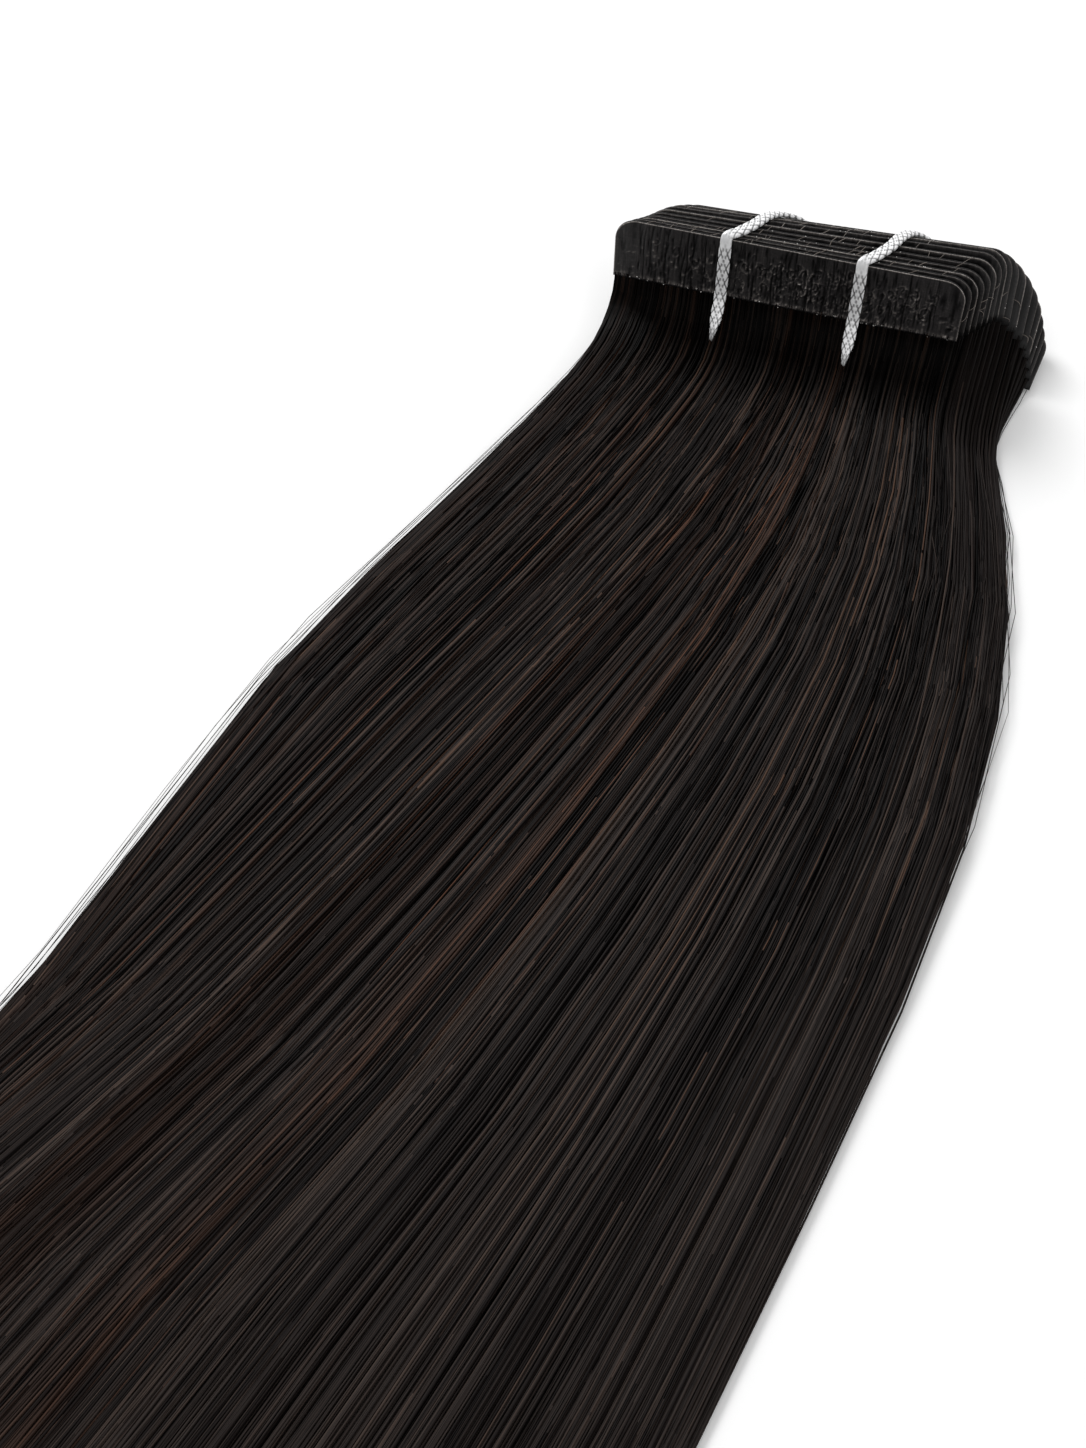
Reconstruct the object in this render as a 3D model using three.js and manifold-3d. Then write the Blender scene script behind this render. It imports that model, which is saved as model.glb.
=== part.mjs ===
// Tape-in hair extension: a fan of tape tabs, the hair of all tabs in one sheaf, and two braided ties.
// Millimetres, Z up. X runs along the tabs and the hair flows towards -Y.
// The origin is on the resting surface, under the middle of the front tab's lower edge.
import * as THREE from 'three';
import { mergeVertices } from 'three/addons/utils/BufferGeometryUtils.js';
import Module from 'manifold-3d';

const wasm = await Module();
wasm.setup();

const MERGE_DISTANCE = 1e-5;

// Tape tabs: cards with two round top corners.
const TAB_COUNT = 17;
const TAB_WIDTH = 40;
const TAB_HEIGHT = 8;
const TAB_THICKNESS = 0.3;
const TAB_CORNER_RADIUS = 2.6;
const TAB_CORNER_STEPS = 5;
const FRONT_TAB_LIFT = 7.7;

// Ties: flat bands that cross every tab at the same two places.
const TIE_PLACES = { tie_left: -7.2, tie_right: 8.2 };
const TIE_WIDTH = 1.4;
const TIE_THICKNESS = 0.5;
const TIE_CLEARANCE = 0.3;
const TIE_STEPS = 72;
const TIE_LOWEST = 0.34;
const TIE_FACE_HEIGHTS = [0.5, 4, 7.4];
const TIE_REAR_BULGE = 0.1;
const TIE_FLAT_SHARE = 0.64;

// How far a tie's middle line arches over the tops of the tabs, front to back.
const TIE_ARCH = [
  { card: 1, over: 0.42 },
  { card: 4, over: 0.85 },
  { card: 7, over: 0.75 },
  { card: 10, over: 0.45 },
  { card: 13, over: 0.36 },
  { card: 17, over: 0.36 },
];

// Where a tie goes from under the last tab, forward through the hair and up to the front tab. The share is
// how far it still stands to the right, towards its place on the last tab.
const TIE_DIVE = [
  { run: 0, share: 0.5, lift: TIE_LOWEST },
  { run: 3.4, share: 0.15, lift: 0.6 },
  { run: 4.9, share: 0, lift: 2 },
  { run: 4.7, share: 0, lift: 3.9 },
  { run: 3.2, share: 0, lift: 5.3 },
  { run: 1.4, share: 0, lift: 6.7 },
];

// Hair: a flat-bottomed bed with locks along it, and a strip of root hair under each tab.
const HAIR_GAP = 0.3;
const BED_START = -2;
const BED_END = 360;
const BED_STEPS = 16;
const BED_CROWDING = 1.8;
const BED_EDGE = 0.7;
const BED_UNDER_POINTS = 9;
const BED_TOP_POINTS = 15;
const LOCK_COUNT = 10;
const LOCK_REACH = 0.96;
const LOCK_START = 12;
const LOCK_END = 384;
const LOCK_STAGGER = 12;
const LOCK_STAGGER_TURN = 2.4;
const LOCK_STEPS = 16;
const LOCK_CROWDING = 1.3;
const LOCK_SIDES = 8;
const LOCK_OVERLAP = 1.3;
const LOCK_MIDDLE = 0.62;
const LOCK_TIP = 0.45;
const LOCK_TIP_LENGTH = 30;
const STRIP_STEPS = 4;
const STRIP_THICKNESS = 0.22;
const STRIP_END_RUN = 10;
const STRIP_STRAIGHT = 2.8;
const STRIP_END_LOW = 0.7;
const STRIP_END_HIGH = 3.9;
const STRIP_NARROWING = 0.9;

// How the tabs fan out, front to back: pitch between cards, lean from the floor, yaw of the right end to the
// rear, turn in the card's own plane, and shift to the right. Degrees and millimetres.
const FAN = [
  { card: 1, pitch: 0.55, lean: 86, yaw: 0, turn: 0, shift: 0 },
  { card: 5, pitch: 0.55, lean: 79, yaw: 2, turn: 0, shift: 2.4 },
  { card: 9, pitch: 0.6, lean: 52, yaw: 3.8, turn: 0, shift: 4.8 },
  { card: 13, pitch: 0.72, lean: 26, yaw: 2.8, turn: 4, shift: 8.2 },
  { card: 17, pitch: 0.72, lean: 11, yaw: 0, turn: 9, shift: 10 },
];

// The sheaf's outline seen from above and its thickness, at runs measured from the tabs towards the tips.
// A high square value gives a boxy section and a low one a lens.
const SHEAF = [
  { run: -2, left: -19, right: 24.5, thick: 4.2, square: 10 },
  { run: 0, left: -21.4, right: 26.8, thick: 4.6, square: 10 },
  { run: 6, left: -24.2, right: 28.2, thick: 4.7, square: 10 },
  { run: 14, left: -26.6, right: 30, thick: 4.5, square: 7 },
  { run: 28, left: -31.4, right: 33, thick: 4.3, square: 4 },
  { run: 45, left: -37.2, right: 34.2, thick: 4.2, square: 3 },
  { run: 58, left: -41.2, right: 33.6, thick: 4.2, square: 2.6 },
  { run: 75, left: -45, right: 31.3, thick: 4.1, square: 2.6 },
  { run: 106, left: -52, right: 24.6, thick: 3.9, square: 2.6 },
  { run: 150, left: -68, right: 14, thick: 3.6, square: 2.6 },
  { run: 220, left: -94, right: -6, thick: 3.1, square: 2.6 },
  { run: 300, left: -117, right: -35, thick: 2.4, square: 2.6 },
  { run: 400, left: -138, right: -78, thick: 1.3, square: 2.6 },
];

const MATERIALS = {
  tape: new THREE.MeshStandardMaterial({ color: 0x1c1a19, roughness: 0.42, metalness: 0 }),
  hair: new THREE.MeshStandardMaterial({ color: 0x1d1512, roughness: 0.4, metalness: 0 }),
  silver: new THREE.MeshStandardMaterial({ color: 0xc9cbcd, roughness: 0.28, metalness: 0.9 }),
};

// Smooth value of one column of a table at a place along its first column.
function sample(table, key, column, at) {
  let row = 0;
  while (row < table.length - 2 && at > table[row + 1][key]) row += 1;
  const slope = (i) => {
    const a = table[Math.max(i - 1, 0)];
    const b = table[Math.min(i + 1, table.length - 1)];
    return (b[column] - a[column]) / (b[key] - a[key]);
  };
  const [a, b] = [table[row], table[row + 1]];
  const span = b[key] - a[key];
  const t = THREE.MathUtils.clamp((at - a[key]) / span, 0, 1);
  const rise = t * t * (3 - 2 * t);
  const easeOut = t * (1 - t) * (1 - t) * span * slope(row);
  const easeIn = t * t * (1 - t) * span * slope(row + 1);
  return a[column] + (b[column] - a[column]) * rise + easeOut - easeIn;
}

// Closed surface through rings of points. Open lofts get a fan of triangles on each end.
function loft(rings, closed = false) {
  const sides = rings[0].length;
  const points = rings.flat();
  const triangles = [];
  const last = closed ? rings.length : rings.length - 1;
  for (let r = 0; r < last; r += 1) {
    const next = (r + 1) % rings.length;
    for (let s = 0; s < sides; s += 1) {
      const t = (s + 1) % sides;
      const [a, b, c, d] = [r * sides + s, r * sides + t, next * sides + t, next * sides + s];
      triangles.push(a, b, c, a, c, d);
    }
  }
  if (!closed) {
    for (const [ring, flip] of [[0, true], [rings.length - 1, false]]) {
      const middle = new THREE.Vector3();
      rings[ring].forEach((p) => middle.addScaledVector(p, 1 / sides));
      const centre = points.push(middle) - 1;
      for (let s = 0; s < sides; s += 1) {
        const [a, b] = [ring * sides + s, ring * sides + ((s + 1) % sides)];
        triangles.push(centre, ...(flip ? [b, a] : [a, b]));
      }
    }
  }
  const geometry = new THREE.BufferGeometry().setFromPoints(points);
  geometry.setIndex(triangles);
  return geometry;
}

function toSolid(geometry) {
  const merged = mergeVertices(geometry, MERGE_DISTANCE);
  const vertProperties = new Float32Array(merged.attributes.position.array);
  const triVerts = new Uint32Array(merged.index.array);
  return new wasm.Manifold(new wasm.Mesh({ numProp: 3, vertProperties, triVerts }));
}

function toGeometry(solid) {
  const { vertProperties, triVerts } = solid.getMesh();
  const geometry = new THREE.BufferGeometry();
  geometry.setAttribute('position', new THREE.BufferAttribute(new Float32Array(vertProperties), 3));
  geometry.setIndex(new THREE.BufferAttribute(new Uint32Array(triVerts), 1));
  return geometry;
}

// Axes of a card: along its width, up its height and out of its front face.
function cardAxes(card) {
  const angle = (column) => THREE.MathUtils.degToRad(sample(FAN, 'card', column, card));
  const [lean, yaw, turn] = ['lean', 'yaw', 'turn'].map(angle);
  const level = new THREE.Vector3(Math.cos(yaw), Math.sin(yaw), 0);
  const rearward = new THREE.Vector3(-Math.sin(yaw), Math.cos(yaw), 0);
  const rising = rearward.multiplyScalar(Math.cos(lean)).setZ(Math.sin(lean));
  const out = new THREE.Vector3().crossVectors(level, rising);
  const along = level.clone().applyAxisAngle(out, -turn);
  const up = rising.clone().applyAxisAngle(out, -turn);
  return { along, up, out };
}

// Each card stands one pitch behind the one in front of it.
function stackCards() {
  const cards = [];
  const place = new THREE.Vector3(0, 0, FRONT_TAB_LIFT);
  for (let card = 1; card <= TAB_COUNT; card += 1) {
    if (card > 1) {
      const between = card - 0.5;
      place.addScaledVector(cardAxes(between).out, -sample(FAN, 'card', 'pitch', between));
    }
    const axes = cardAxes(card);
    const origin = place.clone().addScaledVector(axes.along, sample(FAN, 'card', 'shift', card));
    const at = (x, y, z) =>
      origin.clone().addScaledVector(axes.along, x).addScaledVector(axes.up, y).addScaledVector(axes.out, z);
    cards.push({ ...axes, at });
  }
  return cards;
}

// Places across a tab where its outline or its free stretch between the ties changes.
function tabColumns() {
  const half = TAB_WIDTH / 2;
  const columns = [];
  for (let step = 0; step <= TAB_CORNER_STEPS; step += 1) {
    const angle = (step / TAB_CORNER_STEPS) * (Math.PI / 2);
    const x = half - TAB_CORNER_RADIUS * (1 - Math.cos(angle));
    const top = TAB_HEIGHT - TAB_CORNER_RADIUS * (1 - Math.sin(angle));
    columns.push({ x, top }, { x: -x, top });
  }
  for (const place of Object.values(TIE_PLACES)) {
    columns.push({ x: place - TIE_WIDTH, top: TAB_HEIGHT }, { x: place + TIE_WIDTH, top: TAB_HEIGHT });
  }
  return columns.sort((a, b) => a.x - b.x);
}

function tabGeometry(card) {
  const rings = tabColumns().map(({ x, top }) => [
    card.at(x, 0, -TAB_THICKNESS),
    card.at(x, top, -TAB_THICKNESS),
    card.at(x, top, 0),
    card.at(x, 0, 0),
  ]);
  return loft(rings);
}

// Middle, half width and top height of the sheaf at a run, and at a place u from -1 (left) to 1 (right).
function sheafPoint(run, u) {
  const value = (column) => sample(SHEAF, 'run', column, run);
  const [left, right, thick, square] = ['left', 'right', 'thick', 'square'].map(value);
  const half = (right - left) / 2;
  const top = Math.max(thick * Math.sqrt(1 - Math.abs(u) ** square), BED_EDGE);
  return { x: (left + right) / 2 + u * half, half, top };
}

// Rows of the bed are closer together near the tabs, where the outline changes most.
function bedRun(step) {
  const share = step / BED_STEPS;
  return BED_START + (BED_END - BED_START) * share ** BED_CROWDING;
}

function hairBed() {
  const rings = [];
  for (let step = 0; step <= BED_STEPS; step += 1) {
    const run = bedRun(step);
    const ring = [];
    for (let i = 0; i < BED_UNDER_POINTS; i += 1) {
      const u = (2 * i) / (BED_UNDER_POINTS - 1) - 1;
      ring.push(new THREE.Vector3(sheafPoint(run, u).x, -run, 0));
    }
    for (let i = 0; i < BED_TOP_POINTS; i += 1) {
      const u = Math.cos((Math.PI * i) / (BED_TOP_POINTS - 1));
      const { x, top } = sheafPoint(run, u);
      ring.push(new THREE.Vector3(x, -run, top));
    }
    rings.push(ring);
  }
  return loft(rings);
}

// A lock follows the flow of the sheaf at its place across and ends in a narrow tip. Its rings are closer
// together towards the tip.
function hairLock(index) {
  const across = (2 * (index + 0.5)) / LOCK_COUNT - 1;
  const end = LOCK_END + LOCK_STAGGER * Math.sin(index * LOCK_STAGGER_TURN);
  const rings = [];
  for (let step = 0; step <= LOCK_STEPS; step += 1) {
    const remaining = (1 - step / LOCK_STEPS) ** LOCK_CROWDING;
    const run = end - (end - LOCK_START) * remaining;
    const { x, half, top } = sheafPoint(run, across * LOCK_REACH);
    const tipped = THREE.MathUtils.smoothstep(run, end - LOCK_TIP_LENGTH, end);
    const narrowing = THREE.MathUtils.lerp(1, LOCK_TIP, tipped);
    const wide = (half / LOCK_COUNT) * LOCK_OVERLAP * narrowing;
    const tall = (top / 2) * narrowing;
    const ring = [];
    for (let side = 0; side < LOCK_SIDES; side += 1) {
      const angle = (2 * Math.PI * side) / LOCK_SIDES + Math.PI / LOCK_SIDES;
      const z = top * LOCK_MIDDLE + tall * Math.sin(angle);
      ring.push(new THREE.Vector3(x + wide * Math.cos(angle), -run, z));
    }
    rings.push(ring);
  }
  return loft(rings);
}

// Root hair of one tab: it leaves the tab in the tab's own plane and bends into its layer of the sheaf.
function hairStrip(card, index) {
  const layer = THREE.MathUtils.lerp(STRIP_END_HIGH, STRIP_END_LOW, index / (TAB_COUNT - 1));
  const half = TAB_WIDTH / 2 - HAIR_GAP;
  const edge = (x, z) => {
    const root = card.at(x, -HAIR_GAP, z - TAB_THICKNESS / 2);
    const bend = root.clone().addScaledVector(card.up, -STRIP_STRAIGHT);
    const end = new THREE.Vector3(root.x * STRIP_NARROWING, -STRIP_END_RUN, layer + z);
    return new THREE.QuadraticBezierCurve3(root, bend, end);
  };
  const thin = STRIP_THICKNESS / 2;
  const edges = [edge(-half, thin), edge(-half, -thin), edge(half, -thin), edge(half, thin)];
  const rings = [];
  for (let step = 0; step <= STRIP_STEPS; step += 1) {
    rings.push(edges.map((curve) => curve.getPoint(step / STRIP_STEPS)));
  }
  return loft(rings);
}

// Route of a tie's middle line: up the front face, back over the tops in a slack arch, under the last tab,
// and up through the hair in front of the tabs.
function tieRoute(cards, place) {
  const stand = TIE_THICKNESS / 2 + TIE_CLEARANCE;
  const front = cards[0];
  const rear = cards[TAB_COUNT - 1];
  const middle = -TAB_THICKNESS / 2;
  const [, faceMiddle, faceTop] = TIE_FACE_HEIGHTS;
  const points = TIE_FACE_HEIGHTS.map((height) => front.at(place, height, stand));
  for (let card = 0; card < TAB_COUNT; card += 2) {
    const over = sample(TIE_ARCH, 'card', 'over', card + 1);
    points.push(cards[card].at(place, TAB_HEIGHT + over, middle));
  }
  points.push(rear.at(place, faceTop, -TAB_THICKNESS - stand - TIE_REAR_BULGE));
  points.push(rear.at(place, faceMiddle, -TAB_THICKNESS - stand));
  const underRear = rear.at(place, 0, 0);
  points.push(new THREE.Vector3(underRear.x, underRear.y, TIE_LOWEST));
  for (const { run, share, lift } of TIE_DIVE) {
    points.push(new THREE.Vector3(THREE.MathUtils.lerp(place, underRear.x, share), -run, lift));
  }
  return new THREE.CatmullRomCurve3(points, true, 'centripetal');
}

// Flat band with rounded edges along a closed route. Its width stays close to the tabs' length.
function tieBand(route, width, thickness) {
  const rings = [];
  for (let step = 0; step < TIE_STEPS; step += 1) {
    const middle = route.getPointAt(step / TIE_STEPS);
    const forward = route.getTangentAt(step / TIE_STEPS);
    const across = new THREE.Vector3(1, 0, 0).addScaledVector(forward, -forward.x).normalize();
    const outward = new THREE.Vector3().crossVectors(across, forward);
    const [wide, flat, thin] = [width / 2, (width / 2) * TIE_FLAT_SHARE, thickness / 2];
    const outline = [[-wide, 0], [-flat, thin], [flat, thin], [wide, 0], [flat, -thin], [-flat, -thin]];
    const corner = ([w, t]) => middle.clone().addScaledVector(across, w).addScaledVector(outward, t);
    rings.push(outline.map(corner));
  }
  return loft(rings, true);
}

function hairSheaf(cards, routes) {
  let solid = toSolid(hairBed());
  for (let index = 0; index < LOCK_COUNT; index += 1) {
    solid = solid.add(toSolid(hairLock(index)));
  }
  cards.forEach((card, index) => {
    solid = solid.add(toSolid(hairStrip(card, index)));
  });
  for (const route of routes) {
    const passage = tieBand(route, TIE_WIDTH + 2 * TIE_CLEARANCE, TIE_THICKNESS + 2 * TIE_CLEARANCE);
    solid = solid.subtract(toSolid(passage));
  }
  const bodies = solid.decompose();
  bodies.sort((a, b) => b.volume() - a.volume());
  return toGeometry(bodies[0]);
}

function named(name, geometry, material) {
  geometry.computeVertexNormals();
  const mesh = new THREE.Mesh(geometry, material);
  mesh.name = name;
  return mesh;
}

const extension = new THREE.Group();
const cards = stackCards();
cards.forEach((card, index) => {
  const name = `tape_tab_${String(index + 1).padStart(2, '0')}`;
  extension.add(named(name, tabGeometry(card), MATERIALS.tape));
});
const routes = Object.entries(TIE_PLACES).map(([name, place]) => ({ name, route: tieRoute(cards, place) }));
for (const { name, route } of routes) {
  extension.add(named(name, tieBand(route, TIE_WIDTH, TIE_THICKNESS), MATERIALS.silver));
}
extension.add(named('hair_sheaf', hairSheaf(cards, routes.map(({ route }) => route)), MATERIALS.hair));

export default extension;
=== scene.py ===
"""Looks of a tied bundle of tape-in hair extensions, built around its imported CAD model.

Lengths are in millimetres until a mesh is made, and MM turns them into metres.
X runs along the tabs, the hair flows towards -Y, and Z is up from the floor.
A run is how far a place lies from the front tab towards the tips, and u is a place across the sheaf of hair,
from -1 at its left edge to 1 at its right edge.
A name that ends in RISE holds the start and the length of a smooth step along the run or along a tube.
"""

import math

import bpy
import numpy as np
from mathutils import Matrix, Vector


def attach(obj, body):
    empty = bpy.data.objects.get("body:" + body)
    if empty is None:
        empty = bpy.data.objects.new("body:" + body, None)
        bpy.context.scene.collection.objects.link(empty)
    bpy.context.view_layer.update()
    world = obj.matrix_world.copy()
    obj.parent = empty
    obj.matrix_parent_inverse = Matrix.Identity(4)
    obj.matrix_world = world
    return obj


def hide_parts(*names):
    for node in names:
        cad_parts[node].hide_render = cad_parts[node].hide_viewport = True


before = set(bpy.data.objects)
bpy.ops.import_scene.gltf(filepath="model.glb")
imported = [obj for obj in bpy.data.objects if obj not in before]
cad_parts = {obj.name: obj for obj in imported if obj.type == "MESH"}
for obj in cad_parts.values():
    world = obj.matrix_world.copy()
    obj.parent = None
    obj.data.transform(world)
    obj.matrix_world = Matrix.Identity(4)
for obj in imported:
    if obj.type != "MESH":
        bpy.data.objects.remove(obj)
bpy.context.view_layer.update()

MM = 0.001
FULL_TURN = 2 * math.pi

# Each use of chance has a seed of its own.
SEEDS = {"strands": 7, "tabs": 8, "flyaways": 9, "threads": 10, "specks": 11, "bundles": 12, "drift": 13}

# Camera, at the photo's viewing angle. Its clip distance is in metres.
CAMERA_LENS = 50
CAMERA_SENSOR = 36
CAMERA_CLIP_START = 0.01
CAMERA_AZIMUTH = 16.0
CAMERA_ELEVATION = 55.0
CAMERA_PLACE = (20.8, -171.8, 168.8)

# Floor and light.
FLOOR_REACH = 1500.0
FLOOR_COLOUR = (0.86, 0.86, 0.86)
FLOOR_ROUGHNESS = 0.6
WORLD_STRENGTH = 0.76
LIGHT_TARGET = (0, -80, 0)
LIGHTS = (
    ("name", "place", "size", "power"),
    (
        ("key", (-600, 560, 760), 420, 8.4),
        ("fill", (520, -620, 820), 500, 1.1),
    ),
)

# Tape tabs.
TAB_COUNT = 17
TAB_WIDTH = 40.0
TAB_HEIGHT = 8.0
TAB_THICKNESS = 0.3
TAB_CORNER_RADIUS = 2.6
FRONT_TAB_LIFT = 7.7
TAB_NAMES = [f"tape_tab_{number:02d}" for number in range(1, TAB_COUNT + 1)]

# How the tabs fan out, front to back, in degrees and millimetres.
FAN = (
    ("card", "pitch", "lean", "yaw", "turn", "shift"),
    (
        (1, 0.55, 86, 0.0, 0, 0.0),
        (5, 0.55, 79, 2.0, 0, 2.4),
        (9, 0.60, 52, 3.8, 0, 4.8),
        (13, 0.72, 26, 2.8, 4, 8.2),
        (17, 0.72, 11, 0.0, 9, 10.0),
    ),
)

# The sheaf of hair: its outline from above and its thickness at runs from the tabs to the tips.
# A high square value gives a boxy section and a low one a lens.
SHEAF = (
    ("run", "left", "right", "thick", "square"),
    (
        (-2, -19.0, 24.5, 4.2, 10.0),
        (0, -21.4, 26.8, 4.6, 10.0),
        (6, -24.2, 28.2, 4.7, 10.0),
        (14, -26.6, 30.0, 4.5, 7.0),
        (28, -31.4, 33.0, 4.3, 4.0),
        (45, -37.2, 34.2, 4.2, 3.0),
        (58, -41.2, 33.6, 4.2, 2.6),
        (75, -45.0, 31.3, 4.1, 2.6),
        (106, -52.0, 24.6, 3.9, 2.6),
        (150, -68.0, 14.0, 3.6, 2.6),
        (220, -94.0, -6.0, 3.1, 2.6),
        (300, -117.0, -35.0, 2.4, 2.6),
        (400, -138.0, -78.0, 1.3, 2.6),
    ),
)
SHEAF_EDGE = 0.7


def chance(use):
    return np.random.default_rng(SEEDS[use])


def smooth(t):
    """Smooth step from 0 to 1."""
    t = np.clip(t, 0, 1)
    return t * t * (3 - 2 * t)


def rise(at, start, length):
    """Smooth step from 0 at start to 1 at start + length."""
    return smooth((at - start) / length)


def bell(offset, width):
    """Bell curve with a peak of 1 where the offset is 0."""
    return np.exp(-((offset / width) ** 2))


def unit(vectors):
    return vectors / np.linalg.norm(vectors, axis=-1, keepdims=True)


def table_value(table, column, at):
    """Smooth value of a table's column at places along its first column."""
    names, rows = table
    data = np.array(rows, float)
    key = data[:, 0]
    value = data[:, names.index(column)]
    before = np.maximum(np.arange(len(key)) - 1, 0)
    after = np.minimum(np.arange(len(key)) + 1, len(key) - 1)
    slope = (value[after] - value[before]) / (key[after] - key[before])
    at = np.asarray(at, float)
    row = np.clip(np.searchsorted(key, at) - 1, 0, len(key) - 2)
    span = key[row + 1] - key[row]
    t = np.clip((at - key[row]) / span, 0, 1)
    ease_out = t * (1 - t) ** 2 * span * slope[row]
    ease_in = t * t * (1 - t) * span * slope[row + 1]
    return value[row] + (value[row + 1] - value[row]) * smooth(t) + ease_out - ease_in


class Card:
    """Place and axes of one tab: along its width, up its height and out of its front face."""

    def __init__(self, number):
        lean, yaw, turn = (math.radians(float(table_value(FAN, c, number))) for c in ("lean", "yaw", "turn"))
        level = np.array((math.cos(yaw), math.sin(yaw), 0))
        rising = np.array((-math.sin(yaw) * math.cos(lean), math.cos(yaw) * math.cos(lean), math.sin(lean)))
        self.out = np.cross(level, rising)
        self.along = level * math.cos(turn) - rising * math.sin(turn)
        self.up = rising * math.cos(turn) + level * math.sin(turn)
        self.origin = np.zeros(3)

    def at(self, x, y, z):
        x, y, z = np.broadcast_arrays(np.asarray(x, float), y, z)
        parts = x[..., None] * self.along + y[..., None] * self.up + z[..., None] * self.out
        return self.origin + parts


def stack_cards():
    """Each card stands one pitch behind the one in front of it."""
    cards = []
    place = np.array((0, 0, FRONT_TAB_LIFT))
    for number in range(1, TAB_COUNT + 1):
        if number > 1:
            between = number - 0.5
            place = place - Card(between).out * float(table_value(FAN, "pitch", between))
        card = Card(number)
        card.origin = place + card.along * float(table_value(FAN, "shift", number))
        cards.append(card)
    return cards


def sheaf_middle(run):
    return (table_value(SHEAF, "left", run) + table_value(SHEAF, "right", run)) / 2


def sheaf_half(run):
    return (table_value(SHEAF, "right", run) - table_value(SHEAF, "left", run)) / 2


def sheaf_top(run, u):
    """Height of the sheaf's upper side."""
    share = 1 - np.clip(np.abs(u), 0, 1) ** table_value(SHEAF, "square", run)
    return np.maximum(table_value(SHEAF, "thick", run) * np.sqrt(share), SHEAF_EDGE)


def mesh_piece(name, points, material, quads=(), triangles=()):
    """A new smooth object from arrays of points in millimetres and of face corners."""
    corners = np.concatenate([np.asarray(quads, np.int32).ravel(), np.asarray(triangles, np.int32).ravel()])
    starts = np.concatenate([
        np.arange(len(quads)) * 4,
        len(quads) * 4 + np.arange(len(triangles)) * 3,
    ])
    mesh = bpy.data.meshes.new(name)
    mesh.vertices.add(len(points))
    mesh.vertices.foreach_set("co", (np.asarray(points, np.float32) * MM).ravel())
    mesh.loops.add(len(corners))
    mesh.loops.foreach_set("vertex_index", corners)
    mesh.polygons.add(len(starts))
    mesh.polygons.foreach_set("loop_start", starts.astype(np.int32))
    mesh.polygons.foreach_set("use_smooth", np.ones(len(starts), bool))
    mesh.update(calc_edges=True)
    mesh.validate()
    mesh.materials.append(material)
    piece = bpy.data.objects.new(name, mesh)
    bpy.context.scene.collection.objects.link(piece)
    return piece


def point_value(piece, name, values):
    attribute = piece.data.attributes.new(name, "FLOAT", "POINT")
    attribute.data.foreach_set("value", np.asarray(values, np.float32).ravel())


# Tubes: strands and threads. A tube's painted shadow at its root ends over this stretch of its length.
TUBE_SIDES = 3
TUBE_PAINTED_SHADOW_RISE = (2, 18)

# Corners of a tube's end cap in its strip of the texture map, and the height that the cap takes up.
CAP_CORNERS = ((0.1, 0.0), (0.9, 0.0), (0.5, 0.5))
CAP_HEIGHT = 0.5


def tube_frames(paths, closed=False):
    """Directions across and outward of each path, turned as little as possible from the X axis."""
    if closed:
        forward = np.roll(paths, -1, axis=1) - np.roll(paths, 1, axis=1)
    else:
        forward = np.gradient(paths, axis=1)
    forward = unit(forward)
    across = unit(np.array((1.0, 0, 0)) - forward * forward[..., :1])
    return across, np.cross(across, forward)


def tube_piece(name, paths, radii, tones, material, root_painted_shadow=0.0, warmth=0.0):
    """Many closed tubes in one mesh. paths is (tubes, points, 3), radii (tubes, points), tones (tubes).

    The shade of a tube, a painted shadow at its root, rises from the given root value at its start to 1
    further along it.
    """
    tubes, steps, _ = paths.shape
    across, outward = tube_frames(paths)
    angle = FULL_TURN * np.arange(TUBE_SIDES) / TUBE_SIDES
    ring = np.cos(angle)[:, None] * across[:, :, None] + np.sin(angle)[:, None] * outward[:, :, None]
    points = paths[:, :, None] + ring * radii[:, :, None, None]
    index = np.arange(tubes * steps * TUBE_SIDES).reshape(tubes, steps, TUBE_SIDES)
    after = np.roll(index, -1, axis=2)
    quads = np.stack([index[:, :-1], index[:, 1:], after[:, 1:], after[:, :-1]], -1).reshape(-1, 4)
    caps = np.concatenate([index[:, 0], index[:, -1][:, (0, 2, 1)]])
    piece = mesh_piece(name, points.reshape(-1, 3), material, quads, caps)
    point_value(piece, "tone", np.repeat(tones, steps * TUBE_SIDES))
    point_value(piece, "warm", np.repeat(np.broadcast_to(warmth, tubes), steps * TUBE_SIDES))
    # Painted shadow at each tube's root, fading along the tube.
    along = np.linalg.norm(paths - paths[:, :1], axis=-1)
    least = np.broadcast_to(root_painted_shadow, tubes)[:, None]
    shade = least + (1 - least) * rise(along, *TUBE_PAINTED_SHADOW_RISE)
    point_value(piece, "shade", np.repeat(shade.ravel(), TUBE_SIDES))
    tube_map(piece, tones, steps)
    return piece


def tube_map(piece, tones, steps):
    """A texture map with one upright strip for each tube, and tubes of like tone side by side."""
    rank = np.argsort(np.argsort(tones)).reshape(-1, 1, 1)
    side = np.arange(TUBE_SIDES).reshape(1, 1, -1)
    step = np.arange(steps - 1).reshape(1, -1, 1)
    edges = (rank + side / TUBE_SIDES, rank + (side + 1) / TUBE_SIDES, step, step + 1)
    left, right, low, high = np.broadcast_arrays(*edges)
    walls = np.stack([left, low, left, high, right, high, right, low], -1).reshape(-1, 2)
    caps = []
    for height in (0, steps - 1 - CAP_HEIGHT):
        corner = np.stack([rank[:, 0], np.full_like(rank[:, 0], height, float)], -1)
        caps.append((corner + CAP_CORNERS).reshape(-1, 2))
    corners = np.concatenate([walls, *caps]) / (len(tones), steps - 1)
    uv_map = piece.data.uv_layers.new(name="OFBake")
    uv_map.uv.foreach_set("vector", corners.astype(np.float32).ravel())


# Sockets of a mix node's colours, which share their names with others.
MIX_FACTOR = 0
MIX_A = 6
MIX_B = 7
MIX_RESULT = 2


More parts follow.
